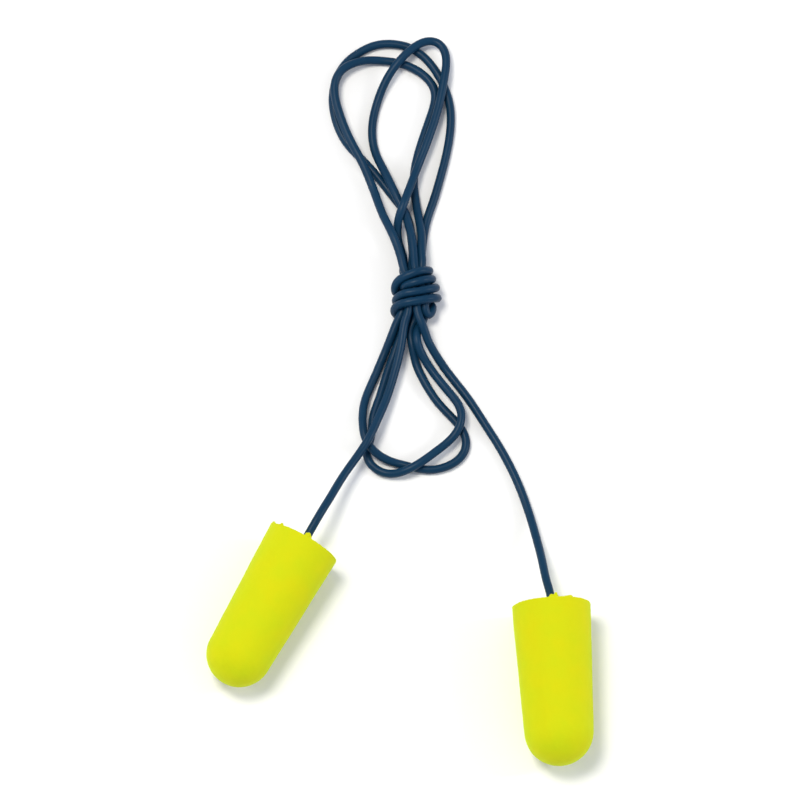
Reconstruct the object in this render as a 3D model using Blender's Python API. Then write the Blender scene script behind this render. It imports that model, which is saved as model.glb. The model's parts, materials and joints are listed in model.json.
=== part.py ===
"""A pair of foam ear plugs on one cord, lying on a table, the cord tied in a hank.

Metres, +Z up. The table is z = 0. The origin is the middle of the box round the two
plugs, on the table. +Y runs from the plugs towards the far end of the hank.
"""
import math

import bmesh
import bpy
from mathutils import Matrix, Vector

MM = 0.001

# Driving dimensions, in millimetres and degrees
CORD_DIAMETER = 1.3
TOUCH_GAP = 0.3               # kept between two pieces that touch
TABLE_GAP = 0.1               # between the table and a cord lying on it
CORD_SIDES_RESOLUTION = 2     # bevel resolution, which gives eight sides

PLUG_LENGTH = 25.2
PLUG_RIM_ROUND = 0.3          # rounding of the cut edge round the base
PLUG_SIDES = 36
TIP_ARC_STEPS = 7

CORD_DEPTH_IN_PLUG = 9.0      # how far the cord end goes into the foam
GLUE_WALL = 0.4
GLUE_LENGTH = 5.0             # the last stretch of the cord end, which the glue holds
GLUE_ROOM = 1.0               # of the pocket that the glue leaves free, towards the mouth

PIVOT_DISTANCE = 2.6          # from a plug's base to where the limp cord bends
SWING_LIMIT_DEG = 45.0        # how far a plug swings either way

KNOT_CENTRE = (2.4, 57.0)
KNOT_LENGTH = 8.4
KNOT_WIDTH_ABOVE = 6.0        # at the end that faces the upper loops
KNOT_WIDTH_BELOW = 7.8        # at the end that faces the plugs
KNOT_HEIGHT = 5.4
KNOT_EDGE_ROUND = 1.1

# Each plug: where the middle of its base stands, which way its tip points (degrees
# anticlockwise from +X), and its two diameters, which differ a little from plug to plug.
PLUGS = {
    "left": dict(base=(-14.79, 16.23), heading=-119.2, base_diameter=11.6, tip_diameter=10.15),
    "right": dict(base=(23.16, 6.18), heading=-86.6, base_diameter=12.1, tip_diameter=10.7),
}

# The cord's route, stretch by stretch. A point is x, y and the number of cords that it
# lies over, so 0 is on the table and 1 is across the top of one other strand.
# A stretch starts and ends at a face of the knot, or at a plug.
TAILS = {
    "left": [
        (-11.1, 23.4, 2.7), (-8.8, 27.5, 2.4), (-6.6, 30.7, 2.1), (-4.9, 33.3, 2.0),
        (-3.7, 36.5, 1.7), (-2.3, 40.0, 1.3), (-1.1, 43.9, 1.2), (-0.1, 48.0, 1.4),
    ],
    "right": [
        (21.1, 17.3, 1.3), (19.8, 22.3, 0.4), (18.1, 27.2, 0.0), (15.7, 32.0, 0.0),
        (12.9, 36.6, 0.0), (10.4, 40.7, 0.0), (7.4, 45.0, 0.0), (5.3, 48.4, 0.8),
    ],
}
UPPER_LOOPS = {
    "rear": [
        (1.0, 70.0, 0.2), (-0.6, 72.4, 0.0), (-3.9, 76.8, 0.0), (-6.0, 79.2, 0.0),
        (-8.4, 81.8, 0.0), (-10.1, 85.6, 0.0), (-10.4, 89.9, 0.0), (-8.9, 93.9, 0.0),
        (-6.6, 96.0, 0.0), (-3.7, 97.3, 0.0), (-0.5, 97.4, 0.0), (2.3, 96.5, 0.0),
        (4.7, 94.4, 0.0), (6.7, 91.0, 0.0), (7.9, 87.5, 0.0), (8.0, 83.8, 0.0),
        (7.3, 79.7, 0.0), (6.1, 75.7, 0.0), (5.1, 72.0, 0.0), (4.6, 68.5, 0.0),
    ],
    "middle": [
        (-1.0, 65.8, 2.3), (-2.7, 69.7, 1.6), (-4.1, 73.9, 0.8), (-5.7, 77.9, 1.0),
        (-8.0, 82.5, 1.0), (-9.6, 87.0, 1.0), (-10.1, 90.0, 1.0), (-9.4, 92.6, 1.0),
        (-7.8, 94.3, 0.9), (-5.7, 95.0, 0.5), (-3.1, 94.8, 0.0), (-0.2, 94.3, 0.0),
        (2.4, 93.4, 0.0), (4.4, 91.8, 0.0), (5.3, 89.8, 0.0), (4.7, 87.0, 0.0),
        (3.6, 83.7, 0.0), (2.4, 79.7, 0.0), (1.9, 76.3, 0.0), (2.3, 73.3, 0.0),
        (2.9, 69.8, 0.4), (3.5, 66.2, 1.3),
    ],
    "front": [
        (1.8, 65.9, 1.8), (0.8, 69.5, 1.3), (-0.7, 73.0, 1.2), (-2.5, 77.1, 0.6),
        (-3.9, 80.5, 0.0), (-4.3, 83.8, 0.0), (-3.7, 87.5, 0.0), (-2.2, 91.4, 0.6),
        (-0.4, 94.1, 1.1), (1.7, 96.3, 1.1), (3.5, 97.5, 0.9), (5.3, 97.8, 0.7),
        (6.6, 96.7, 0.8), (7.1, 94.6, 0.9), (6.7, 91.0, 1.0), (5.7, 86.2, 1.0),
        (4.1, 81.2, 1.0), (2.5, 76.9, 1.0), (1.4, 73.6, 1.7), (0.5, 70.8, 2.3),
        (-0.1, 68.4, 1.6), (0.1, 66.0, 0.9),
    ],
}
LOWER_LOOPS = {
    "under": [
        (-1.8, 50.4, 0.8), (-2.8, 47.8, 0.1), (-4.2, 44.1, 0.0), (-5.5, 40.6, 0.1),
        (-5.9, 37.2, 0.7), (-5.2, 33.7, 1.1), (-3.4, 31.9, 0.8), (-1.0, 30.8, 0.0),
        (1.9, 29.9, 0.0), (4.3, 29.3, 0.0), (6.7, 29.7, 0.0), (8.9, 30.9, 0.0),
        (10.1, 32.9, 0.0), (9.7, 35.3, 0.0), (8.2, 37.4, 0.0), (5.8, 40.1, 0.0),
        (3.7, 43.5, 0.0), (2.3, 46.8, 0.1), (1.9, 49.7, 0.8),
    ],
    "over": [
        (2.7, 49.8, 1.4), (3.9, 46.9, 0.7), (5.9, 43.9, 0.4), (8.1, 40.9, 0.7),
        (9.5, 38.4, 1.0), (9.0, 35.6, 1.0), (7.7, 33.8, 0.8), (5.5, 31.9, 0.9),
        (3.3, 30.2, 1.0), (1.1, 28.9, 0.9), (-1.0, 28.5, 0.3), (-2.9, 28.8, 0.0),
        (-4.5, 30.1, 0.0), (-5.2, 32.0, 0.0), (-4.5, 33.9, 0.0), (-4.2, 37.5, 0.0),
        (-3.2, 40.6, 0.0), (-2.2, 44.0, 0.0), (-1.0, 47.6, 0.0), (-0.2, 50.0, 0.4),
    ],
}
# Where each stretch meets the knot: x and the number of cords that it lies over
KNOT_ABOVE = {
    "rear": ((2.3, 1.0), (4.0, 1.0)),
    "middle": ((0.6, 2.3), (3.9, 2.3)),
    "front": ((2.3, 2.3), (0.6, 1.0)),
}
KNOT_BELOW = {
    "under": ((-1.0, 1.0), (2.3, 1.0)),
    "over": ((1.7, 2.3), (0.6, 1.0)),
    "left": (0.0, 2.3),
    "right": (3.4, 2.3),
}

SMOOTH_STEP = 0.25            # between the points that a stretch is first worked out at
CUT_CORNER = 0.4              # the furthest that a straight piece may leave the smooth curve
LONGEST_RUN = 10.0            # the longest straight piece


def srgb(red, green, blue):
    """A colour given in steps of 0 to 255, as the linear values that a shader takes."""
    out = []
    for step in (red, green, blue):
        part = step / 255.0
        out.append(part / 12.92 if part <= 0.04045 else ((part + 0.055) / 1.055) ** 2.4)
    return (*out, 1.0)


def material(name, colour, roughness):
    mat = bpy.data.materials.new(name)
    mat.use_nodes = True
    shader = mat.node_tree.nodes["Principled BSDF"]
    shader.inputs["Base Color"].default_value = colour
    shader.inputs["Roughness"].default_value = roughness
    shader.inputs["Metallic"].default_value = 0.0
    return mat


def add_object(name, data, mat, parent=None):
    obj = bpy.data.objects.new(name, data)
    bpy.context.scene.collection.objects.link(obj)
    obj.data.materials.append(mat)
    obj.parent = parent
    return obj


def shade_round(mesh, sharp_deg=35.0):
    mesh.shade_smooth()
    mesh.set_sharp_from_angle(angle=math.radians(sharp_deg))


def turned(name, profile, sides):
    """A mesh turned about +X from (distance along X, radius) pairs in millimetres.

    The profile runs from the axis, round the outside, and back to the axis or to its
    own start. Its flats touch the stated radius, so the lowest flat is a true face.
    """
    to_corner = 1.0 / math.cos(math.pi / sides)
    bm = bmesh.new()
    rings = []
    for along, radius in profile:
        if radius == 0.0:
            rings.append([bm.verts.new((along * MM, 0.0, 0.0))])
            continue
        ring = []
        for side in range(sides):
            turn = 2.0 * math.pi * (side + 0.5) / sides
            corner = radius * to_corner * MM
            ring.append(bm.verts.new((along * MM, corner * math.sin(turn), -corner * math.cos(turn))))
        rings.append(ring)
    closed = profile[0][1] != 0.0
    pairs = list(zip(rings, rings[1:]))
    if closed:
        pairs.append((rings[-1], rings[0]))
    for first, second in pairs:
        for side in range(sides):
            other = (side + 1) % sides
            corners = [first[side % len(first)], second[side % len(second)],
                       second[other % len(second)], first[other % len(first)]]
            bm.faces.new(list(dict.fromkeys(corners)))
    bmesh.ops.recalc_face_normals(bm, faces=bm.faces)
    mesh = bpy.data.meshes.new(name)
    bm.to_mesh(mesh)
    bm.free()
    shade_round(mesh)
    return mesh


class Plug:
    """One plug's sizes and place, worked out from its diameters, base and heading."""

    def __init__(self, side, base, heading, base_diameter, tip_diameter):
        self.side = side
        self.base_radius = base_diameter / 2.0
        self.tip_radius = tip_diameter / 2.0
        self.straight = PLUG_LENGTH - self.tip_radius
        reach = math.hypot(self.straight, self.base_radius)
        self.taper = math.acos(self.tip_radius / reach) - math.atan2(self.straight, self.base_radius)
        self.height = self.base_radius * math.cos(self.taper)
        self.base = Vector((base[0], base[1], self.height))
        heading = math.radians(heading)
        down = -math.sin(self.taper)
        self.towards_tip = Vector((math.cos(heading) * math.cos(self.taper),
                                   math.sin(heading) * math.cos(self.taper), down))
        self.heading = heading
        self.pivot = self.base - self.towards_tip * PIVOT_DISTANCE

    def outer(self):
        """The outside, from the base's centre line to the middle of the round tip."""
        slope = math.tan(self.taper)
        rim = self.base_radius
        points = []
        for step in range(4):
            turn = math.radians(30.0 * step)
            points.append((PLUG_RIM_ROUND * (1.0 - math.cos(turn)),
                           rim - PLUG_RIM_ROUND * (1.0 - math.sin(turn) + slope * (1.0 - math.cos(turn)))))
        for step in range(TIP_ARC_STEPS + 1):
            turn = math.pi / 2.0 - self.taper - step * (math.pi / 2.0 - self.taper) / TIP_ARC_STEPS
            points.append((self.straight + self.tip_radius * math.cos(turn),
                           self.tip_radius * math.sin(turn)))
        points[-1] = (PLUG_LENGTH, 0.0)
        return points

    def bore(self):
        """The blind bore, from its bottom to its mouth: a glue pocket, then a neck."""
        neck = CORD_DIAMETER / 2.0 + TOUCH_GAP
        pocket = neck + GLUE_WALL + TOUCH_GAP
        bottom = CORD_DEPTH_IN_PLUG + TOUCH_GAP
        neck_end = CORD_DEPTH_IN_PLUG - GLUE_LENGTH - GLUE_ROOM
        return [(bottom, 0.0), (bottom, pocket), (neck_end, pocket), (neck_end, neck), (0.0, neck)]


def swing_clearance():
    """Half the gap between the two cord ends at a pivot, so that they never meet."""
    half_turn = math.radians(SWING_LIMIT_DEG / 2.0)
    return CORD_DIAMETER / 2.0 * math.tan(half_turn) + TOUCH_GAP / 2.0


def lay_along(obj, plug, along):
    """Turn an object to the plug's centre line, so far from the pivot it hangs from."""
    obj.location = (along * math.cos(plug.taper) * MM, 0.0, -along * math.sin(plug.taper) * MM)
    obj.rotation_euler = (0.0, plug.taper, 0.0)


def make_plug(plug, foam, glue, cord):
    """The foam plug, the glue in its bore and the end of the cord, on one swinging empty."""
    swing = bpy.data.objects.new(plug.side + "_plug_swing", None)
    swing.location = plug.pivot * MM
    swing.rotation_euler = (0.0, 0.0, plug.heading)
    bpy.context.scene.collection.objects.link(swing)

    body = turned(plug.side + "_foam_plug", plug.bore() + plug.outer(), PLUG_SIDES)
    lay_along(add_object(plug.side + "_foam_plug", body, foam, swing), plug, PIVOT_DISTANCE)

    inner = CORD_DIAMETER / 2.0 + TOUCH_GAP
    outer = inner + GLUE_WALL
    start = CORD_DEPTH_IN_PLUG - GLUE_LENGTH
    outline = [(start, inner), (start, outer), (CORD_DEPTH_IN_PLUG, outer), (CORD_DEPTH_IN_PLUG, inner)]
    sleeve = turned(plug.side + "_cord_glue", outline, PLUG_SIDES)
    lay_along(add_object(plug.side + "_cord_glue", sleeve, glue, swing), plug, PIVOT_DISTANCE)

    deepest = PIVOT_DISTANCE + CORD_DEPTH_IN_PLUG - TOUCH_GAP
    ends = [(along, 0.0, 0.0) for along in (swing_clearance(), PIVOT_DISTANCE, deepest)]
    end = cord_tube(plug.side + "_cord_end", ends)
    lay_along(add_object(plug.side + "_cord_end", end, cord, swing), plug, 0.0)


def cord_tube(name, points):
    """A round cord through points in millimetres."""
    curve = bpy.data.curves.new(name, "CURVE")
    curve.dimensions = "3D"
    curve.bevel_depth = CORD_DIAMETER / 2.0 * MM
    curve.bevel_resolution = CORD_SIDES_RESOLUTION
    curve.use_fill_caps = True
    curve.render_resolution_u = 0
    spline = curve.splines.new("POLY")
    spline.points.add(len(points) - 1)
    for slot, point in zip(spline.points, points):
        slot.co = (point[0] * MM, point[1] * MM, point[2] * MM, 1.0)
    spline.use_smooth = True
    return curve


def smooth_through(points):
    """A smooth curve through the points (a centripetal Catmull-Rom curve)."""
    before = points[0] * 2.0 - points[1]
    after = points[-1] * 2.0 - points[-2]
    knots = [before, *points, after]
    out = []
    for p0, p1, p2, p3 in zip(knots, knots[1:], knots[2:], knots[3:]):
        t1 = (p1 - p0).length ** 0.5
        t2 = t1 + (p2 - p1).length ** 0.5
        t3 = t2 + (p3 - p2).length ** 0.5
        count = max(2, round((p2 - p1).length / SMOOTH_STEP))
        for step in range(count):
            t = t1 + (t2 - t1) * step / count
            a1 = p0.lerp(p1, t / t1)
            a2 = p1.lerp(p2, (t - t1) / (t2 - t1))
            a3 = p2.lerp(p3, (t - t2) / (t3 - t2))
            b1 = a1.lerp(a2, t / t2)
            b2 = a2.lerp(a3, (t - t1) / (t3 - t1))
            out.append(b1.lerp(b2, (t - t1) / (t2 - t1)))
    out.append(points[-1])
    return out


def thin_out(fine):
    """Keep only as many points as it takes to stay close to the smooth curve."""
    kept = [fine[0]]
    skipped = []
    for here, after in zip(fine[1:], fine[2:]):
        skipped.append(here)
        chord = after - kept[-1]
        furthest = max((point - kept[-1]).cross(chord).length for point in skipped) / chord.length
        if furthest > CUT_CORNER or chord.length > LONGEST_RUN:
            kept.append(here)
            skipped = []
    if (kept[-1] - fine[-1]).length < CORD_DIAMETER:
        kept.pop()
    kept.append(fine[-1])
    return kept


def height_over(strands):
    """Height of a cord's centre line where it lies over so many other strands."""
    return TABLE_GAP + CORD_DIAMETER / 2.0 + strands * (CORD_DIAMETER + TOUCH_GAP)


def route(points):
    return [Vector((x, y, height_over(strands))) for x, y, strands in points]


def knot_port(port, above):
    """Two points that lead a strand straight out of the knot's end face."""
    x, strands = port
    way = 1.0 if above else -1.0
    face = KNOT_CENTRE[1] + way * (KNOT_LENGTH / 2.0 + TOUCH_GAP)
    height = height_over(strands)
    return [Vector((x, face, height)), Vector((x, face + way * CORD_DIAMETER, height))]


def plug_port(plug):
    """Two points that lead the cord straight on from a plug's pivot."""
    start = plug.pivot - plug.towards_tip * swing_clearance()
    return [start, start - plug.towards_tip * CORD_DIAMETER]


def make_knot(cord):
    """One closed solid of the outer shape of the turns that hold the hank together."""
    half = KNOT_LENGTH / 2.0
    wide = KNOT_WIDTH_BELOW / 2.0
    narrow = KNOT_WIDTH_ABOVE / 2.0
    outline = [(-wide, -half), (wide, -half), (narrow, half), (-narrow, half)]
    bm = bmesh.new()
    base = [bm.verts.new((x * MM, y * MM, 0.0)) for x, y in outline]
    bottom = bm.faces.new(base)
    grown = bmesh.ops.extrude_face_region(bm, geom=[bottom])
    top = [item for item in grown["geom"] if isinstance(item, bmesh.types.BMVert)]
    bmesh.ops.translate(bm, verts=top, vec=(0.0, 0.0, KNOT_HEIGHT * MM))
    bmesh.ops.recalc_face_normals(bm, faces=bm.faces)
    mesh = bpy.data.meshes.new("cord_wraps")
    bm.to_mesh(mesh)
    bm.free()
    knot = add_object("cord_wraps", mesh, cord)
    knot.location = (KNOT_CENTRE[0] * MM, KNOT_CENTRE[1] * MM, 0.0)
    rounding = knot.modifiers.new("rounding", "BEVEL")
    rounding.width = KNOT_EDGE_ROUND * MM
    rounding.segments = 3
    rounding.limit_method = "NONE"


def make_cord(plugs, cord):
    """The knot, and a tube for each stretch of cord that is outside it."""
    make_knot(cord)
    for name, points in UPPER_LOOPS.items():
        start, end = KNOT_ABOVE[name]
        whole = knot_port(start, True) + route(points) + knot_port(end, True)[::-1]
        tube = cord_tube("upper_loop_" + name, thin_out(smooth_through(whole)))
        add_object("upper_loop_" + name, tube, cord)
    for name, points in LOWER_LOOPS.items():
        start, end = KNOT_BELOW[name]
        whole = knot_port(start, False) + route(points) + knot_port(end, False)[::-1]
        tube = cord_tube("lower_loop_" + name, thin_out(smooth_through(whole)))
        add_object("lower_loop_" + name, tube, cord)
    for side, points in TAILS.items():
        whole = plug_port(plugs[side]) + route(points) + knot_port(KNOT_BELOW[side], False)[::-1]
        tube = cord_tube(side + "_tail", thin_out(smooth_through(whole)))
        add_object(side + "_tail", tube, cord)


def main():
    for obj in list(bpy.data.objects):
        bpy.data.objects.remove(obj, do_unlink=True)
    foam = material("soft foam", srgb(224, 227, 30), 0.85)
    glue = material("clear glue", srgb(226, 220, 190), 0.35)
    cord = material("soft vinyl", srgb(22, 62, 92), 0.4)
    plugs = {side: Plug(side, **spec) for side, spec in PLUGS.items()}
    for plug in plugs.values():
        make_plug(plug, foam, glue, cord)
    make_cord(plugs, cord)


main()
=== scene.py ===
# %% [markdown]
# # A pair of foam ear plugs on a cord
#
# Two soft foam plugs sit on the ends of one thin vinyl cord. The cord's middle is folded
# into a hank: three long loops above and two short ones below, bound by a few turns of the
# cord itself. The pair lies on a white table.
#
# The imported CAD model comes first. It fixes every size and place, so each piece below is
# made where the CAD says, in metres, with +Z up and the table at z = 0.

# %% Load the frame
import json
import math

import bpy
import numpy as np
from mathutils import Matrix, Vector


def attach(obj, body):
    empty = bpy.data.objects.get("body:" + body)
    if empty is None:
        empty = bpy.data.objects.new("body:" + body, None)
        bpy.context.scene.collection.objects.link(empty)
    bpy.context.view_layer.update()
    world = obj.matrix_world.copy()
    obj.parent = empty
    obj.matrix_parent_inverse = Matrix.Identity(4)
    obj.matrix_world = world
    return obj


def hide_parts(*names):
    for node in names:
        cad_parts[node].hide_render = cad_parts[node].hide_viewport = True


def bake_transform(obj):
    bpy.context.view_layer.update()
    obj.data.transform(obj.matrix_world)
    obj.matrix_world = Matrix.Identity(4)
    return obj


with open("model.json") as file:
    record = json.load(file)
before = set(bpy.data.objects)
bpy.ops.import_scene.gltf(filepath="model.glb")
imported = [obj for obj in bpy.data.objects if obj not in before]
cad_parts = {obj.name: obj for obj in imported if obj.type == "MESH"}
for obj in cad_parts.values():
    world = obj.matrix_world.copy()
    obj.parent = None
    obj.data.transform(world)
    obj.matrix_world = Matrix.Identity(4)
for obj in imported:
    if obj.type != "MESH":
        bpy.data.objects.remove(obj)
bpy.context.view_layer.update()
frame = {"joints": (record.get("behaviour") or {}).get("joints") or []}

MM = 0.001
joints = {joint["name"]: joint for joint in frame["joints"]}

# %% [markdown]
# ## Camera, table and light
#
# The view is nearly straight down: the camera leans 16 degrees towards the plugs' tips. A
# very long lens from 4 m away shows both plugs at the same scale. The view spans 123 mm.
#
# The table is a plain white sheet. A large soft lamp hangs high and a little to the upper
# left, so each piece has a short soft shadow to its lower right. Two low, narrow strips at
# the sides add highlights along the satin cord and light the plugs' flanks. A white
# surround fills the rest. It is brightest at the horizon, and a little cooler than the
# lamp, as daylight is. The Standard view transform is chosen because AgX would grey the
# fluorescent yellow.

# %% Camera
VIEW_CENTRE = Vector((0.0, 40.65, 0.0)) * MM
VIEW_WIDTH = 123.1 * MM
CAMERA_LEAN = math.radians(16.0)
CAMERA_DISTANCE = 4.0
SENSOR_WIDTH = 36.0

away = Vector((0.0, -math.sin(CAMERA_LEAN), math.cos(CAMERA_LEAN)))
bpy.ops.object.camera_add(location=VIEW_CENTRE + away * CAMERA_DISTANCE, rotation=(CAMERA_LEAN, 0.0, 0.0))
camera = bpy.context.object
camera.name = "view_camera"
camera.data.sensor_width = SENSOR_WIDTH
camera.data.lens = SENSOR_WIDTH * CAMERA_DISTANCE / VIEW_WIDTH
camera.data.clip_start = 0.01
bpy.context.scene.camera = camera
bpy.context.scene.view_settings.view_transform = "Standard"
print("lens", round(camera.data.lens, 1), "mm")


# %% [markdown]
# ## Two small helpers for materials
#
# Colours are written as sRGB hex, as a paint chart gives them, and one function turns them
# into the linear values that a shader takes. A second one adds any node with its settings
# and links, so that each material below reads as a short recipe.

# %% Material helpers
def linear(hex_colour):
    """An sRGB colour such as "E0E31E" as linear red, green, blue and alpha."""
    parts = [int(hex_colour[at:at + 2], 16) / 255.0 for at in (0, 2, 4)]
    return (*[p / 12.92 if p <= 0.04045 else ((p + 0.055) / 1.055) ** 2.4 for p in parts], 1.0)


def add_node(tree, kind, inputs=None, **settings):
    """Add a node. Inputs are plain values, or other nodes' outputs to link."""
    made = tree.nodes.new(kind)
    for name, value in settings.items():
        setattr(made, name, value)
    for name, value in (inputs or {}).items():
        if isinstance(value, bpy.types.NodeSocket):
            tree.links.new(value, made.inputs[name])
        else:
            made.inputs[name].default_value = value
    return made


def new_material(name):
    """A material with its tree and its Principled shader."""
    mat = bpy.data.materials.new(name)
    mat.use_nodes = True
    return mat, mat.node_tree, mat.node_tree.nodes["Principled BSDF"]


# %% Table
TABLE_SIZE = 1.0
bpy.ops.object.select_all(action="DESELECT")
bpy.ops.mesh.primitive_plane_add(size=TABLE_SIZE, location=(0.0, 0.0, 0.0))
table = bpy.context.object
table.name = "white_table"
painted, _, shader = new_material("matt white sheet")
shader.inputs["Base Color"].default_value = linear("F6F6F6")
shader.inputs["Roughness"].default_value = 0.9
table.data.materials.append(painted)

# %% Lamps and surround
LAMPS = {
    "upper_lamp": dict(place=(-0.24, 0.17, 0.90), size=(0.34, 0.34), watts=5.7, colour="FFFAED"),
    "left_strip": dict(place=(-0.78, 0.05, 0.45), size=(0.06, 0.34), watts=1.0, colour="FFFFFF"),
    "right_strip": dict(place=(0.78, 0.05, 0.45), size=(0.06, 0.34), watts=2.2, colour="FFFFFF"),
}
for name, lamp in LAMPS.items():
    place = Vector(lamp["place"])
    turn = (place - VIEW_CENTRE).to_track_quat("Z", "Y").to_euler()
    bpy.ops.object.light_add(type="AREA", location=place, rotation=turn)
    made = bpy.context.object
    made.name = name
    made.data.shape = "ELLIPSE"
    made.data.size, made.data.size_y = lamp["size"]
    made.data.energy = lamp["watts"]
    made.data.color = linear(lamp["colour"])[:3]

AT_HORIZON, OVERHEAD = 1.0, 0.40
surround = bpy.data.worlds.new("white surround")
surround.use_nodes = True
tree = surround.node_tree
looking = add_node(tree, "ShaderNodeTexCoord").outputs["Generated"]
height = add_node(tree, "ShaderNodeSeparateXYZ", {"Vector": looking}).outputs["Z"]
light = add_node(tree, "ShaderNodeMapRange", {"Value": height, "To Min": AT_HORIZON, "To Max": OVERHEAD})
tree.links.new(light.outputs["Result"], tree.nodes["Background"].inputs["Strength"])
tree.nodes["Background"].inputs["Color"].default_value = linear("EAF0FF")
bpy.context.scene.world = surround


# %% [markdown]
# ## The cord's route
#
# The cord is one piece of soft vinyl, 1.3 mm thick and about 0.6 m long. It is limp, so
# it keeps the curves it was folded into. Its points are listed as x and y in millimetres
# and the number of strands it lies over: 0 is on the table, 1 is across one other strand.
# So a crossing is one point a layer higher, with lower ones a little way off on both
# sides, which gives the long low hump of a real cord.

# %% Route points outside the knot
CORD_DIAMETER = 1.3 * MM
CORD_RADIUS = CORD_DIAMETER / 2.0
CORD_UNEVEN = 0.012

TAILS = {
    "left": [
        (-11.0, 23.1, 3.5), (-8.65, 27.5, 2.5), (-6.5, 30.8, 2.1), (-4.85, 33.5, 1.9),
        (-3.5, 36.6, 1.7), (-2.15, 40.0, 1.3), (-0.95, 43.9, 1.2), (0.05, 48.0, 1.4),
    ],
    "right": [
        (22.4, 10.5, 3.7), (21.7, 14.4, 2.4), (21.0, 17.7, 1.2), (19.8, 22.3, 0.3), (18.1, 27.2, 0.0),
        (15.8, 32.0, 0.0), (13.05, 36.6, 0.0), (10.45, 40.7, 0.0), (7.25, 45.0, 0.0), (4.95, 48.4, 0.8),
    ],
}
UPPER_LOOPS = {
    "rear": [
        (1.0, 70.0, 0.2), (-0.6, 72.4, 0.0), (-3.9, 76.8, 0.0), (-6.0, 79.2, 0.0),
        (-8.3, 81.8, 0.0), (-9.95, 85.6, 0.0), (-10.3, 89.9, 0.0), (-8.85, 93.9, 0.0),
        (-6.6, 96.0, 0.0), (-3.7, 97.45, 0.0), (-0.5, 97.55, 0.0), (2.3, 96.6, 0.0),
        (4.7, 94.4, 0.0), (6.7, 91.0, 0.0), (7.7, 87.5, 0.0), (7.75, 83.8, 0.0),
        (7.1, 79.7, 0.0), (6.1, 75.7, 0.0), (5.1, 72.2, 0.0), (4.0, 68.7, 0.0),
    ],
    "middle": [
        (-1.0, 65.8, 2.3), (-2.7, 69.7, 1.6), (-4.1, 73.9, 0.8), (-5.7, 77.9, 1.0),
        (-8.0, 82.5, 1.0), (-9.6, 87.0, 1.0), (-10.1, 90.0, 1.0), (-9.4, 92.6, 1.0),
        (-7.6, 93.95, 0.9), (-5.2, 94.85, 0.4), (-2.7, 94.9, 0.0), (-0.2, 94.55, 0.0),
        (2.4, 93.5, 0.0), (4.4, 91.8, 0.0), (5.4, 89.8, 0.0), (5.0, 87.0, 0.0),
        (3.95, 83.7, 0.0), (2.75, 79.7, 0.0), (2.15, 76.3, 0.0), (2.3, 73.3, 0.0),
        (2.8, 69.8, 0.4), (3.3, 66.2, 1.3),
    ],
    "front": [
        (1.8, 65.9, 1.8), (0.8, 69.5, 1.3), (-0.7, 73.0, 1.2), (-2.5, 77.1, 0.6),
        (-3.9, 80.5, 0.0), (-4.3, 83.8, 0.0), (-3.7, 87.5, 0.0), (-2.2, 91.4, 0.6),
        (-0.4, 94.1, 1.1), (1.7, 96.3, 1.1), (3.5, 97.5, 0.9), (5.3, 97.8, 0.7),
        (6.6, 96.7, 0.8), (7.1, 94.6, 0.9), (6.7, 91.0, 1.0), (5.7, 86.2, 1.0),
        (4.1, 81.2, 1.0), (2.5, 76.9, 1.0), (1.4, 73.6, 1.7), (0.5, 70.8, 2.3),
        (-0.3, 68.3, 1.5), (-0.25, 65.6, 0.8),
    ],
}
LOWER_LOOPS = {
    "under": [
        (-1.3, 50.4, 0.8), (-2.4, 47.8, 0.1), (-3.9, 44.1, 0.0), (-5.3, 40.6, 0.1),
        (-5.75, 37.2, 0.7), (-5.15, 33.6, 1.1), (-3.5, 31.6, 0.8), (-1.0, 30.5, 0.0),
        (1.9, 29.75, 0.0), (4.3, 29.3, 0.0), (6.7, 29.7, 0.0), (8.9, 30.9, 0.0),
        (10.1, 32.9, 0.0), (9.7, 35.3, 0.0), (8.2, 37.4, 0.0), (5.8, 40.1, 0.0),
        (3.7, 43.5, 0.0), (2.3, 46.8, 0.1), (1.9, 49.7, 0.8),
    ],
    "over": [
        (2.5, 49.8, 1.4), (3.7, 46.9, 0.7), (5.7, 43.9, 0.4), (7.95, 40.9, 0.7),
        (9.35, 38.4, 1.0), (9.0, 35.6, 1.0), (7.7, 33.8, 0.8), (5.5, 31.9, 0.9),
        (3.3, 30.2, 1.0), (1.1, 29.0, 0.9), (-1.0, 28.6, 0.3), (-2.8, 28.95, 0.0),
        (-4.4, 30.2, 0.0), (-5.2, 32.0, 0.0), (-4.5, 33.9, 0.0), (-4.2, 37.5, 0.0),
        (-3.2, 40.6, 0.0), (-2.2, 44.0, 0.0), (-1.0, 47.6, 0.0), (-0.2, 50.0, 0.4),
    ],
}

# %% [markdown]
# ## The knot
#
# Seven strands run through the knot side by side, and the cord is wound round them in four
# turns. Each turn goes up the left side, over the front and down the right side, and the
# turns are listed from the plugs' end of the knot. The last turn is tucked under the one
# before it at the left, which keeps the hank shut.
#
# Inside the knot a point's third value is its height in millimetres.

# %% Knot points
KNOT_LEVELS = (52.8, 55.2, 58.5, 61.4)
# Each strand that runs through: its x and height at the four levels, from the plugs' end up
STRANDS = {
    "left_tail_to_middle": [(0.75, 3.0), (0.95, 3.15), (0.8, 3.2), (0.45, 3.2)],
    "over_to_middle": [(3.0, 1.5), (4.2, 1.9), (3.85, 2.5), (3.25, 2.85)],
    "over_to_rear": [(0.7, 1.4), (1.7, 1.95), (2.05, 1.95), (2.1, 1.95)],
    "under_to_rear": [(1.8, 1.4), (3.0, 1.95), (3.35, 1.75), (3.2, 1.5)],
    "under_to_front": [(-0.3, 1.9), (0.5, 1.85), (0.85, 1.9), (0.9, 1.9)],
}
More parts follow.
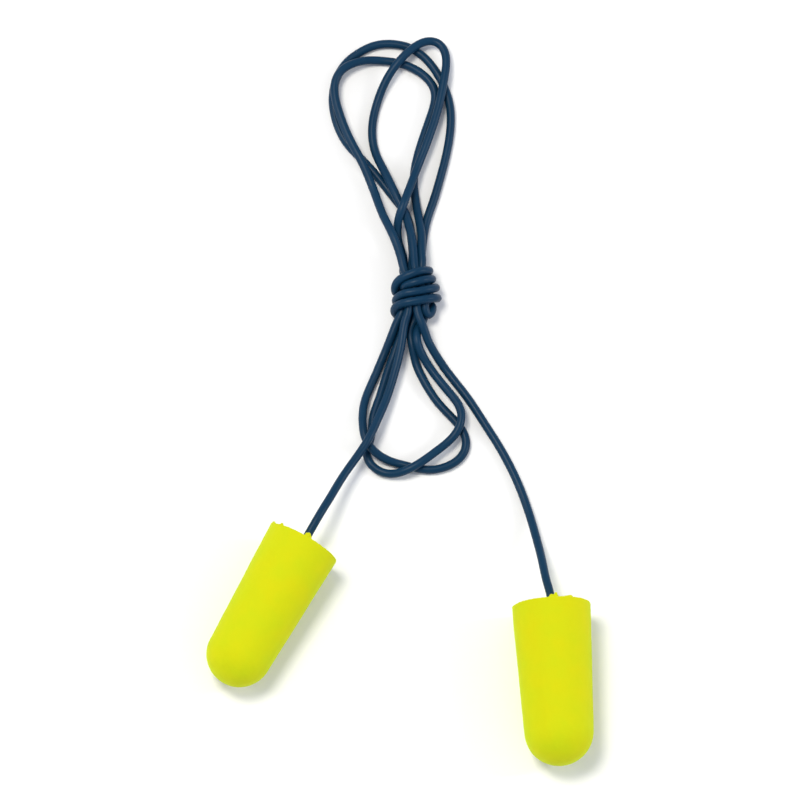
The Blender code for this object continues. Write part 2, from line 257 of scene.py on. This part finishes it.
# From the top of the knot down to a small bight, then up behind and round to the left
BIGHT = [
    (2.35, 61.4, 3.3), (2.8, 59.6, 3.3), (3.4, 57.4, 3.2), (3.7, 56.0, 3.15), (3.85, 55.0, 3.1),
    (3.92, 54.3, 3.0), (4.05, 53.6, 2.8), (4.35, 53.25, 2.5), (4.65, 53.6, 2.25), (4.8, 54.3, 2.15),
    (4.82, 55.0, 1.9), (4.72, 55.6, 1.25), (4.0, 55.65, 0.7), (3.0, 55.25, 0.65), (1.6, 54.6, 0.65),
    (0.5, 54.1, 0.65),
]
# The turns, each from the left side to where it goes behind
WRAPS = [
    [(-0.35, 53.9, 0.75), (-0.68, 54.1, 1.6), (-0.5, 54.65, 3.0), (0.42, 54.9, 4.25), (2.48, 55.24, 4.5),
     (4.6, 55.7, 4.1), (5.75, 56.2, 2.7), (5.4, 56.6, 1.3), (3.8, 56.7, 0.65), (1.4, 56.1, 0.65)],
    [(-0.2, 55.65, 1.0), (-0.5, 55.95, 2.4), (0.42, 56.41, 4.2), (2.48, 56.69, 4.5),
     (4.4, 57.2, 4.1), (5.45, 57.78, 2.7), (5.1, 58.3, 1.3), (3.6, 58.3, 0.65), (1.2, 57.5, 0.65)],
    [(-0.05, 57.3, 1.1), (-0.25, 57.9, 2.7), (0.35, 58.8, 4.15), (1.79, 59.54, 4.55),
     (3.2, 60.1, 4.2), (4.15, 60.5, 2.7), (3.8, 60.85, 1.3), (2.6, 60.8, 0.65), (1.1, 59.7, 0.65)],
    [(0.05, 58.6, 1.3), (0.15, 58.05, 2.5), (0.85, 57.98, 3.9), (2.48, 58.21, 4.5),
     (3.9, 58.75, 4.15), (4.75, 59.15, 2.7), (4.55, 59.35, 1.5), (3.9, 59.3, 0.75)],
]
# The last stretch comes up between the strands and leaves for the right plug
LAST_STRAND = [
    (3.1, 58.9, 0.8), (2.65, 58.0, 1.6), (2.45, 56.9, 2.6), (2.35, 55.5, 3.25), (2.4, 54.3, 3.25),
    (2.7, 52.9, 3.1),
]


# %% [markdown]
# ## One smooth line through all the points
#
# The strands are joined in the order in which a hand would have wound them, from deep in
# the left plug's bore to deep in the right one's. The points are then joined by a
# centripetal Catmull-Rom curve, which passes through every point and never overshoots
# where two points are close together.
#
# Each point also says how firmly it is held when the strands settle. The loops and turns
# are held, and the strands hidden inside the knot give way.

# %% Where the plugs are
PLUG_LENGTH = 25.2 * MM
PIVOT_DISTANCE = 2.6 * MM        # from a plug's base to its pivot, on the cord
CORD_DEPTH = 8.7 * MM            # how far the cord goes into the plug
PLUGS = {
    "left": dict(heading=-119.2, base_radius=5.8 * MM, tip_radius=5.075 * MM),
    "right": dict(heading=-86.6, base_radius=6.05 * MM, tip_radius=5.35 * MM),
}


def plug_axis(heading, base_radius, tip_radius):
    """The unit vector from a plug's base to its tip: the tapered side lies flat on the table."""
    straight = PLUG_LENGTH - tip_radius
    taper = math.acos(tip_radius / math.hypot(straight, base_radius)) - math.atan2(straight, base_radius)
    turn = math.radians(heading)
    return Vector((math.cos(turn) * math.cos(taper), math.sin(turn) * math.cos(taper), -math.sin(taper)))


axes = {side: plug_axis(**spec) for side, spec in PLUGS.items()}
pivots = {side: Vector(joints[side + "_plug_swing"]["pos_m"]) for side in PLUGS}
bases = {side: pivots[side] + axes[side] * PIVOT_DISTANCE for side in PLUGS}
for side in PLUGS:
    print(side, "plug's base at", [round(x / MM, 2) for x in bases[side]])

# %% Join the strands
HOLD_IN_PLUG, HOLD_LOOP, HOLD_WRAP, HOLD_INSIDE = 3.0, 1.0, 3.0, 0.05


def layered(points):
    """Route points as places: the third value counts strands."""
    return [(x, y, (CORD_RADIUS + layer * CORD_DIAMETER) / MM, HOLD_LOOP) for x, y, layer in points]


def strand(name):
    """The points of a strand that runs up through the knot. It is held where it comes out."""
    holds = (HOLD_LOOP, HOLD_INSIDE, HOLD_INSIDE, HOLD_LOOP)
    return [(x, y, z, hold) for y, (x, z), hold in zip(KNOT_LEVELS, STRANDS[name], holds)]


def held(points, hold):
    return [(*point, hold) for point in points]


def in_plug(side):
    """Points from deep in a plug's bore out to its base."""
    depths = (CORD_DEPTH, CORD_DEPTH / 2.0, 0.5 * MM)
    return held([tuple((bases[side] + axes[side] * depth) / MM) for depth in depths], HOLD_IN_PLUG)


def lead_out(side, distance):
    """A point straight on from a plug's base."""
    return held([tuple((bases[side] - axes[side] * distance) / MM)], HOLD_IN_PLUG)


route = [
    *in_plug("left"), *lead_out("left", 5.5 * MM), *layered(TAILS["left"]),
    *strand("left_tail_to_middle"), *layered(UPPER_LOOPS["middle"]),
    *strand("over_to_middle")[::-1], *layered(LOWER_LOOPS["over"]),
    *strand("over_to_rear"), *layered(UPPER_LOOPS["rear"]),
    *strand("under_to_rear")[::-1], *layered(LOWER_LOOPS["under"][::-1]),
    *strand("under_to_front"), *layered(UPPER_LOOPS["front"][::-1]),
    *held(BIGHT, HOLD_WRAP), *[point for wrap in WRAPS for point in held(wrap, HOLD_WRAP)],
    *held(LAST_STRAND, HOLD_INSIDE), *layered(TAILS["right"][::-1]),
    *lead_out("right", 1.5 * MM), *in_plug("right")[::-1],
]
print(len(route), "route points")


# %% Draw the line
SETTLE_STEP = 0.5                # mm between the points that settle
CURVE_STEP = 0.2                 # mm between the points first put on the curve
EASE_ROUNDS = 60
FIRM_HOLD, FIRM_SHARE = 1.2, 0.25   # points held more firmly than this are eased less


def smooth_through(points, step):
    """Closely spaced points on a smooth curve through the given ones."""
    points = [np.array(p, float) for p in points]
    knots = [points[0] * 2 - points[1], *points, points[-1] * 2 - points[-2]]
    out = []
    for p0, p1, p2, p3 in zip(knots, knots[1:], knots[2:], knots[3:]):
        gaps = [np.linalg.norm((b - a)[:3]) ** 0.5 for a, b in ((p0, p1), (p1, p2), (p2, p3))]
        t1, t2, t3 = np.cumsum(gaps)
        count = max(2, round(float(np.linalg.norm((p2 - p1)[:3])) / step))
        for t in np.linspace(t1, t2, count, endpoint=False):
            a1 = p0 + (p1 - p0) * t / t1
            a2 = p1 + (p2 - p1) * (t - t1) / (t2 - t1)
            a3 = p2 + (p3 - p2) * (t - t2) / (t3 - t2)
            b1 = a1 + (a2 - a1) * t / t2
            b2 = a2 + (a3 - a2) * (t - t1) / (t3 - t1)
            out.append(b1 + (b2 - b1) * (t - t1) / (t2 - t1))
    out.append(points[-1])
    return np.array(out)


def evenly(line, step):
    """The same line with points one step apart."""
    along = np.concatenate([[0.0], np.cumsum(np.linalg.norm(np.diff(line[:, :3], axis=0), axis=1))])
    places = np.linspace(0.0, along[-1], int(round(along[-1] / step)) + 1)
    return np.stack([np.interp(places, along, column) for column in line.T], axis=1)


def eased(line, rounds, keep):
    """Smooth out what the listed points leave uneven, without shrinking the loops: in, then out again."""
    for turn in range(rounds * 2):
        share = 0.5 if turn % 2 == 0 else -0.52
        bent = (line[:-2] + line[2:]) * 0.5 - line[1:-1]
        line = line.copy()
        line[1:-1] += bent * share * keep[1:-1, None]
    return line


drawn = evenly(smooth_through(route, CURVE_STEP), SETTLE_STEP)
laid, holds = drawn[:, :3], np.clip(drawn[:, 3], HOLD_INSIDE, HOLD_WRAP)
laid = eased(laid, EASE_ROUNDS, np.where(holds > FIRM_HOLD, FIRM_SHARE, 1.0))
print("cord as drawn", round(len(laid) * SETTLE_STEP), "mm")


# %% [markdown]
# ## Let the strands settle
#
# The listed points leave strands a little too close to each other where many of them
# meet. Real strands push each other aside. So the line is relaxed: two points of the cord
# that are nearer than one diameter move apart, the one that is held less moves more, and
# each push is spread along the cord so that it bends gently. A weak pull keeps the strand
# on its route, and the table stops it from below. Nothing is random. Deep in the knot a few
# points stay nearer than a diameter: the last lines of the cell print how many.

# %% Settle
SETTLE_ROUNDS = 320
SEARCH_EVERY = 12                # rounds between two searches for strands that are near
SEARCH_MARGIN = 1.5              # mm beyond the gap that a search still counts as near
LEAST_HOLD = 0.3                 # so that even a loose strand gives way only so much
PUSH_GAIN = 2.0
SPREAD_PASSES = 3
BEND_SHARE = 0.3
PULL_HOME = 0.02
TOO_CLOSE = 1.17                 # mm, 90% of a diameter
NEIGHBOURS = int(2.4 * CORD_DIAMETER / MM / SETTLE_STEP)    # these along the cord don't count


def settle(line, holds, gap):
    """Push strands apart where their centre lines are nearer than the gap, for a set number of rounds."""
    here = line.copy()
    order = np.arange(len(line))
    gives = 1.0 / (LEAST_HOLD + holds)
    fixed = int((CORD_DEPTH + PIVOT_DISTANCE) / MM / SETTLE_STEP)
    for turn in range(SETTLE_ROUNDS):
        if turn % SEARCH_EVERY == 0:
            apart = np.linalg.norm(here[:, None, :] - here[None, :, :], axis=2)
            near = (apart < gap + SEARCH_MARGIN) & (order[None, :] - order[:, None] > NEIGHBOURS)
            first, second = np.nonzero(near)
            share = gives[first] / (gives[first] + gives[second])
        between = here[first] - here[second]
        distance = np.linalg.norm(between, axis=1)
        lacking = np.clip(gap - distance, 0.0, None)
        shove = between / np.maximum(distance, 1e-6)[:, None] * lacking[:, None]
        push = np.zeros_like(here)
        count = np.ones(len(here))
        np.add.at(push, first, shove * share[:, None])
        np.add.at(push, second, -shove * (1.0 - share)[:, None])
        np.add.at(count, first[lacking > 0.0], 1.0)
        np.add.at(count, second[lacking > 0.0], 1.0)
        push = push / count[:, None] * PUSH_GAIN + (line - here) * (PULL_HOME * holds)[:, None]
        for _ in range(SPREAD_PASSES):
            push[1:-1] = push[1:-1] * 0.5 + (push[:-2] + push[2:]) * 0.25
        bent = np.zeros_like(here)
        bent[1:-1] = (here[:-2] + here[2:]) * 0.5 - here[1:-1]
        push[2:-2] += (bent[2:-2] - (bent[1:-3] + bent[3:-1]) * 0.5) * BEND_SHARE
        push[:fixed] = 0.0
        push[-fixed:] = 0.0
        here = here + push
        here[:, 2] = np.maximum(here[:, 2], CORD_RADIUS * (1.0 + CORD_UNEVEN) / MM)
    return here


def nearest_strands(line):
    """How close the cord comes to itself at each point."""
    order = np.arange(len(line))
    apart = np.linalg.norm(line[:, None, :] - line[None, :, :], axis=2)
    apart[np.abs(order[None, :] - order[:, None]) <= NEIGHBOURS] = np.inf
    return apart.min(axis=1)


settled = settle(laid, holds, CORD_DIAMETER / MM)
closest = nearest_strands(settled)
for at in np.argsort(closest)[:6]:
    print("strands", round(float(closest[at]), 2), "mm apart at", np.round(settled[at], 1).tolist())
print("moved at most", round(float(np.linalg.norm(settled - laid, axis=1).max()), 2), "mm;",
      int((closest < TOO_CLOSE).sum()), "points of", len(settled), "closer than 90% of a diameter")

# %% [markdown]
# ## The cord itself
#
# A tube of rings follows the line. The rings are carried along without twist, so that the
# surface pattern runs straight along the cord. Extruded vinyl isn't perfectly even, so the
# radius varies by about one percent over a few millimetres.
#
# The cord is cut in three where the plugs swing. The long middle piece lies still. Each
# short end piece starts a little before the pivot and goes into the plug's bore. Both
# sides of a cut share the same ring, so no seam shows.

# %% Tube helpers
CORD_STEP = 0.45                 # mm between rings
CORD_SIDES = 20
CORD_SMOOTH_ANGLE = math.radians(50.0)
SEAM_DISTANCE = 3.6              # mm from a pivot to the cut
SHORT_WAVE, LONG_WAVE = 2.3, 5.9   # mm along the cord, for its uneven radius

centres = evenly(smooth_through(settled[::2], CURVE_STEP), CORD_STEP)
places = np.arange(len(centres)) * CORD_STEP
waves = np.sin(places / SHORT_WAVE) * 0.5 + np.sin(places / LONG_WAVE + 1.0) * 0.5
radii = CORD_RADIUS / MM * (1.0 + CORD_UNEVEN * waves)


def carried_rings(line, radii):
    """The corners of a ring round each point of the line, with no twist between rings."""
    ways = np.gradient(line, axis=0)
    ways /= np.linalg.norm(ways, axis=1)[:, None]
    side = np.cross(ways[0], (0.0, 0.0, 1.0))
    turns = np.arange(CORD_SIDES) * 2.0 * math.pi / CORD_SIDES
    rings = []
    for place, way, radius in zip(line, ways, radii):
        side = side - way * np.dot(side, way)
        side /= np.linalg.norm(side)
        up = np.cross(side, way)
        rings.append(place + radius * (np.outer(np.cos(turns), side) + np.outer(np.sin(turns), up)))
    return np.array(rings) * MM


rings = carried_rings(centres, radii)


def tube(name, first, last):
    """The stretch of cord between two rings, closed at both ends."""
    count = last - first + 1
    here = np.arange(CORD_SIDES)
    after = (here + 1) % CORD_SIDES
    faces = [
        (ring * CORD_SIDES + a, ring * CORD_SIDES + b,
         (ring + 1) * CORD_SIDES + b, (ring + 1) * CORD_SIDES + a)
        for ring in range(count - 1) for a, b in zip(here.tolist(), after.tolist())
    ]
    faces += [tuple(here[::-1].tolist()), tuple((here + (count - 1) * CORD_SIDES).tolist())]
    data = bpy.data.meshes.new(name)
    data.from_pydata(rings[first:last + 1].reshape(-1, 3).tolist(), [], faces)
    along = data.uv_layers.new(name="along_cord")
    for loop in data.loops:
        ring, corner = divmod(loop.vertex_index, CORD_SIDES)
        along.data[loop.index].uv = ((first + ring) * CORD_STEP * MM, corner / CORD_SIDES)
    made = bpy.data.objects.new(name, data)
    bpy.context.scene.collection.objects.link(made)
    bpy.ops.object.select_all(action="DESELECT")
    bpy.context.view_layer.objects.active = made
    made.select_set(True)
    bpy.ops.object.mode_set(mode="EDIT")
    bpy.ops.mesh.select_all(action="SELECT")
    bpy.ops.mesh.normals_make_consistent(inside=False)
    bpy.ops.object.mode_set(mode="OBJECT")
    bpy.ops.object.shade_smooth_by_angle(angle=CORD_SMOOTH_ANGLE)
    return made


# %% Make the three pieces
left_cut = int((CORD_DEPTH / MM + PIVOT_DISTANCE / MM + SEAM_DISTANCE) / CORD_STEP)
right_cut = len(centres) - 1 - left_cut
main_cord = tube("vinyl_cord", left_cut, right_cut)
cord_ends = {"left": tube("left_vinyl_end", 0, left_cut),
             "right": tube("right_vinyl_end", right_cut, len(centres) - 1)}

# %% [markdown]
# ### The vinyl
#
# Soft vinyl (plasticised PVC), extruded and dyed in the mass: a dark blue with a satin
# skin. The eye sees soft, long highlights and a thin pale line at the edges, where the
# surface mirrors the white table. The dye is a little uneven along the cord.

# %% Vinyl material
DYE_CLOUD = 6.0 * MM
vinyl, tree, shader = new_material("satin blue vinyl, extruded")
spot = add_node(tree, "ShaderNodeTexCoord").outputs["Object"]
cloud = add_node(tree, "ShaderNodeTexNoise", {"Vector": spot, "Scale": 1.0 / DYE_CLOUD, "Detail": 3.0})
tint = add_node(tree, "ShaderNodeMix", {0: cloud.outputs["Fac"], 6: linear("092C45"), 7: linear("0D3652")},
                data_type="RGBA")
tree.links.new(tint.outputs[2], shader.inputs["Base Color"])
shader.inputs["Roughness"].default_value = 0.36
shader.inputs["Specular IOR Level"].default_value = 0.14
for piece in (main_cord, *cord_ends.values()):
    piece.data.materials.append(vinyl)

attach(main_cord, "cord")
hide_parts("cord_wraps", "left_tail", "right_tail",
            *["upper_loop_" + name for name in UPPER_LOOPS],
            *["lower_loop_" + name for name in LOWER_LOOPS])
for side, piece in cord_ends.items():
    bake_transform(piece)
    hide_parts(side + "_cord_end")

# %% [markdown]
# ## The foam plugs
#
# Each plug is slow-recovery foam, moulded with a round tip and a slight taper and then cut
# off flat, so its side has a smooth closed skin and its base shows open cells. It could be
# a turned solid from one outline. Here it starts as a sphere, because that gives the tip an
# even mesh. The lower half is cut away, and the open rim is drawn down the taper, round the
# cut edge, across the base and up into the bore that takes the cord.

# %% Foam shape
FOAM_SIDES = 120
SIDE_STEPS = 44
RIM_ROUND = 0.18 * MM
RIM_STEPS = 4
BASE_STEPS = 15
BORE_RADIUS = 0.72 * MM
BORE_NECK = 3.0 * MM
GLUE_POCKET_RADIUS = 1.6 * MM
BORE_DEPTH = 9.3 * MM
FOAM_SMOOTH_ANGLE = math.radians(55.0)


def select_verts(test):
    """In edit mode, select only the vertices whose place passes the test."""
    bpy.ops.object.mode_set(mode="OBJECT")
    data = bpy.context.object.data
    keep = [test(vert.co) for vert in data.vertices]
    bpy.ops.object.mode_set(mode="EDIT")
    bpy.ops.mesh.select_mode(type="VERT")
    bpy.ops.mesh.select_all(action="DESELECT")
    bpy.ops.object.mode_set(mode="OBJECT")
    data.vertices.foreach_set("select", keep)
    bpy.ops.object.mode_set(mode="EDIT")
    bpy.ops.mesh.select_mode(type="VERT")


def draw_rim(here, profile):
    """Extrude the selected rim through (height, radius) pairs, from where it is now."""
    height, radius = here
    for new_height, new_radius in profile:
        bpy.ops.mesh.extrude_edges_move(TRANSFORM_OT_translate={"value": (0.0, 0.0, new_height - height)})
        share = new_radius / radius
        bpy.ops.transform.resize(value=(share, share, 1.0), center_override=(0.0, 0.0, new_height))
        height, radius = new_height, new_radius


def plug_profile(base, tip):
    """From below the round tip, down the side, round the rim, over the base and up the bore."""
    straight = PLUG_LENGTH - tip
    side = [(straight * (1.0 - t) + RIM_ROUND * t, tip + (base - tip) * t)
            for t in np.linspace(0.0, 1.0, SIDE_STEPS + 1)[1:]]
    rim = [(RIM_ROUND * (1.0 - math.sin(a)), base - RIM_ROUND * (1.0 - math.cos(a)))
           for a in np.linspace(0.0, math.pi / 2.0, RIM_STEPS + 1)[1:]]
    flat = base - RIM_ROUND
    face = [(0.0, flat + (BORE_RADIUS - flat) * t) for t in np.linspace(0.0, 1.0, BASE_STEPS + 1)[1:]]
    bore = [(BORE_NECK, BORE_RADIUS), (BORE_NECK, GLUE_POCKET_RADIUS), (BORE_DEPTH, GLUE_POCKET_RADIUS),
            (BORE_DEPTH, BORE_RADIUS / 4.0)]
    return side + rim + face + bore


def start_piece(name):
    """Name the piece just added and make it the only one selected."""
    piece = bpy.context.object
    piece.name = name
    piece.data.name = name
    return piece


def make_foam(side, base_radius, tip_radius):
    """One plug, standing on its base at the origin with its tip up."""
    straight = PLUG_LENGTH - tip_radius
    bpy.ops.object.select_all(action="DESELECT")
    bpy.ops.mesh.primitive_uv_sphere_add(segments=FOAM_SIDES, ring_count=FOAM_SIDES // 2,
                                         radius=tip_radius, location=(0.0, 0.0, straight))
    bpy.ops.object.transform_apply(location=True, rotation=False, scale=False)
    foam = start_piece(side + "_foam")
    bpy.ops.object.mode_set(mode="EDIT")
    bpy.ops.mesh.select_all(action="SELECT")
    bpy.ops.mesh.bisect(plane_co=(0.0, 0.0, straight), plane_no=(0.0, 0.0, 1.0),
                        clear_inner=True, threshold=1e-6)
    select_verts(lambda place: place.z < straight + 1e-6)
    draw_rim((straight, tip_radius), plug_profile(base_radius, tip_radius))
    bpy.ops.mesh.merge(type="CENTER")
    bpy.ops.mesh.select_all(action="SELECT")
    bpy.ops.mesh.normals_make_consistent(inside=False)
    bpy.ops.object.mode_set(mode="OBJECT")
    return foam


# %% [markdown]
# ### The foam's surface
#
# The moulded skin is nearly smooth: it has shallow dimples a few millimetres across and
# fine pores. The cut base is rougher, because the knife opens the cells. Both are real
# shape here, made by displacing a finely divided mesh, with more of it on the base. The
# textures are Blender's own clouds, which are the same at each run.

# %% Foam surface
DIMPLES = dict(grain=4.5 * MM, depth=0.10 * MM)
PORES = dict(grain=0.45 * MM, depth=0.035 * MM)
CUT_CELLS = dict(grain=0.6 * MM, depth=0.14 * MM)
CUT_BAND = 0.2 * MM              # the cut base is what lies lower than this on the upright plug
BORE_CLEAR = BORE_RADIUS * 1.3   # and farther from the axis than this


def clouds(name, grain):
    """A cloud texture whose lumps are about one grain across."""
    texture = bpy.data.textures.new(name, "CLOUDS")
    texture.noise_scale = grain
    texture.noise_depth = 2
    return texture


def roughen(piece, name, grain, depth, group=""):
    """Push the surface in and out by a cloud pattern."""
    bpy.context.view_layer.objects.active = piece
    rough = piece.modifiers.new(name, "DISPLACE")
    rough.texture = clouds(piece.name + "_" + name, grain)
    rough.texture_coords = "LOCAL"
    rough.strength = depth
    rough.mid_level = 0.5
    rough.vertex_group = group
    bpy.ops.object.modifier_apply(modifier=name)


def mark_cut(piece):
    """A vertex group for the cut base, which the rougher pattern reads."""
    bpy.ops.object.mode_set(mode="EDIT")
    select_verts(lambda place: place.z < CUT_BAND and place.xy.length > BORE_CLEAR)
    piece.vertex_groups.new(name="cut")
    bpy.ops.object.vertex_group_assign()
    bpy.ops.object.mode_set(mode="OBJECT")


def place_on_plug(piece, side):
    """Turn a piece made on the upright plug to where that plug lies, and apply it."""
    turn = axes[side].to_track_quat("Z", "Y")
    piece.matrix_world = Matrix.Translation(bases[side]) @ turn.to_matrix().to_4x4()
    bpy.ops.object.select_all(action="DESELECT")
    piece.select_set(True)
    bpy.context.view_layer.objects.active = piece
    bpy.ops.object.transform_apply(location=True, rotation=True, scale=True)


foams = {}
for side, spec in PLUGS.items():
    foam = make_foam(side, spec["base_radius"], spec["tip_radius"])
    mark_cut(foam)
    place_on_plug(foam, side)
    finer = foam.modifiers.new("finer", "SUBSURF")
    finer.subdivision_type = "SIMPLE"
    finer.levels = 1
    finer.render_levels = 1
    bpy.ops.object.modifier_apply(modifier="finer")
    roughen(foam, "dimples", **DIMPLES)
    roughen(foam, "pores", **PORES)
    roughen(foam, "cut_cells", **CUT_CELLS, group="cut")
    bpy.ops.object.shade_smooth_by_angle(angle=FOAM_SMOOTH_ANGLE)
    foams[side] = foam
    print(foam.name, len(foam.data.polygons), "faces")

# %% [markdown]
# ### Torn bits of foam
#
# The base is cut and the bore is punched before the cord is glued in, and both leave small
# torn bits: a ragged collar where the cord goes in, and crumbs on the rim. Each is a small
# ball drawn out to its size and pushed into the base, and the same clouds make it ragged.
# A bit's place is measured from the middle of the base: across it, up it and out of it.

# %% Torn foam
TORN = {
    "left": [
        dict(place=(-0.34, 0.76, 0.25), size=(0.82, 0.36, 0.80)),
        dict(place=(-0.14, 0.82, 1.05), size=(0.50, 0.28, 0.58)),
        dict(place=(-0.62, 0.74, 0.95), size=(0.26, 0.22, 0.42)),
        dict(place=(5.55, 0.60, 0.0), size=(0.24, 0.50, 0.30)),
        dict(place=(5.20, 1.90, 0.0), size=(0.34, 0.50, 0.34)),
        dict(place=(3.75, 4.15, 0.0), size=(0.26, 0.24, 0.28)),
    ],
    "right": [
        dict(place=(-0.74, 0.74, 0.65), size=(0.52, 0.38, 1.05)),
        dict(place=(-0.84, 0.80, 1.40), size=(0.26, 0.24, 0.48)),
        dict(place=(-0.20, 0.82, 0.50), size=(0.60, 0.30, 1.10)),
        dict(place=(-2.60, 4.70, 0.0), size=(0.70, 0.40, 0.34)),
    ],
}
TORN_GRAIN = dict(grain=0.35 * MM, depth=0.22 * MM)
BIT_SEGMENTS, BIT_RINGS = 24, 16

torn_foams = {}
for side, bits in TORN.items():
    out = -axes[side]
    across = Vector((0.0, 0.0, 1.0)).cross(out).normalized()
    upward = out.cross(across)
    frame_of_base = Matrix((across, upward, out)).transposed()
    bpy.ops.object.select_all(action="DESELECT")
    made = []
    for bit in bits:
        bpy.ops.mesh.primitive_uv_sphere_add(segments=BIT_SEGMENTS, ring_count=BIT_RINGS, radius=1.0)
        ball = start_piece(side + "_torn_foam")
        place = bases[side] + frame_of_base @ (Vector(bit["place"]) * MM)
        sized = Matrix.Diagonal(Vector(bit["size"]) * MM)
        ball.matrix_world = Matrix.Translation(place) @ (frame_of_base @ sized).to_4x4()
        bpy.ops.object.transform_apply(location=True, rotation=True, scale=True)
        made.append(ball)
    for ball in made:
        ball.select_set(True)
    bpy.context.view_layer.objects.active = made[0]
    bpy.ops.object.join()
    torn = start_piece(side + "_torn_foam")
    roughen(torn, "ragged", **TORN_GRAIN)
    bpy.ops.object.shade_smooth()
    torn_foams[side] = torn
    print(torn.name, len(bits), "bits")

# %% [markdown]
# ### The foam's material
#
# Polyvinyl or polyurethane foam with a fluorescent yellow dye. The dye gives back more
# light than plain yellow paint, with a green cast where light grazes it. The skin is matt,
# so it gets a high roughness and a greenish sheen.

# %% Foam material
MOTTLE = 6.0 * MM
SKIN_GRAIN = 0.22 * MM

foam_skin, tree, shader = new_material("fluorescent yellow foam, moulded skin")
spot = add_node(tree, "ShaderNodeTexCoord").outputs["Object"]
cloud = add_node(tree, "ShaderNodeTexNoise", {"Vector": spot, "Scale": 1.0 / MOTTLE, "Detail": 4.0})
tint = add_node(tree, "ShaderNodeMix", {0: cloud.outputs["Fac"], 6: linear("BACE12"), 7: linear("D8CA06")},
                data_type="RGBA")
grain = add_node(tree, "ShaderNodeTexNoise", {"Vector": spot, "Scale": 1.0 / SKIN_GRAIN, "Detail": 2.0})
bump = add_node(tree, "ShaderNodeBump",
                {"Height": grain.outputs["Fac"], "Strength": 0.35, "Distance": 0.05 * MM})
tree.links.new(tint.outputs[2], shader.inputs["Base Color"])
tree.links.new(bump.outputs["Normal"], shader.inputs["Normal"])
shader.inputs["Roughness"].default_value = 0.85
shader.inputs["Specular IOR Level"].default_value = 0.1
shader.inputs["Sheen Weight"].default_value = 0.7
shader.inputs["Sheen Roughness"].default_value = 0.4
shader.inputs["Sheen Tint"].default_value = linear("BEEA58")

for side, foam in foams.items():
    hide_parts(side + "_foam_plug")
    for piece in (foam, torn_foams[side]):
        piece.data.materials.append(foam_skin)
        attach(piece, side + "_plug")

# %% [markdown]
# ### The glue
#
# A plug of hot-melt glue holds each end of the cord in its bore. Its shape is the CAD one:
# the pocket's own shape, because the glue filled it as a liquid. It is milky and clear.

# %% Glue material
glue, tree, shader = new_material("hot-melt glue, milky clear")
shader.inputs["Base Color"].default_value = linear("EDE9DC")
shader.inputs["Roughness"].default_value = 0.3
shader.inputs["Transmission Weight"].default_value = 0.5
for side in PLUGS:
    node = bpy.data.objects[side + "_cord_glue"]
    node.data.materials.clear()
    node.data.materials.append(glue)
